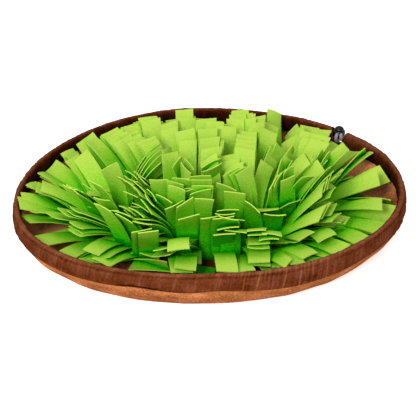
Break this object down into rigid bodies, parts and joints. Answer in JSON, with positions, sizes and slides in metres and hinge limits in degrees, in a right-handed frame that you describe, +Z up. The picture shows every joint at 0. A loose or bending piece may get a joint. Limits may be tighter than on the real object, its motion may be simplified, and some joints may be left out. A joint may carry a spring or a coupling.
{
  "type": "snuffle mat",
  "caption": "Round cloth mat whose drawn-up edge forms a low wall, planted with upright and fanning felt strips for hiding treats.",
  "frame": {"origin": "the middle of the flat underside, on the floor", "axes": "+Z up out of the floor, +X to the right and +Y to the back, with the cord lock at the back right"},
  "size_m": [0.4834, 0.4759, 0.106],
  "materials": {
    "base_cloth": "woven canvas, matte tan",
    "casing_cloth": "gathered woven cloth, matte dark red-brown",
    "felt": "pressed polyester felt, matte lime green",
    "drawcord": "braided polyester cord, soft light grey",
    "cord_lock": "moulded black plastic, glossy"
  },
  "bodies": {
    "root": {"base_cloth": "base_cloth", "casing": "casing_cloth", "felt_ring_1": "felt", "felt_ring_2": "felt", "felt_ring_3": "felt", "felt_ring_4": "felt", "felt_ring_5": "felt", "felt_ring_6": "felt", "drawcord_left": "drawcord", "drawcord_right": "drawcord", "cord_lock": "cord_lock"}
  },
  "joints": []
}
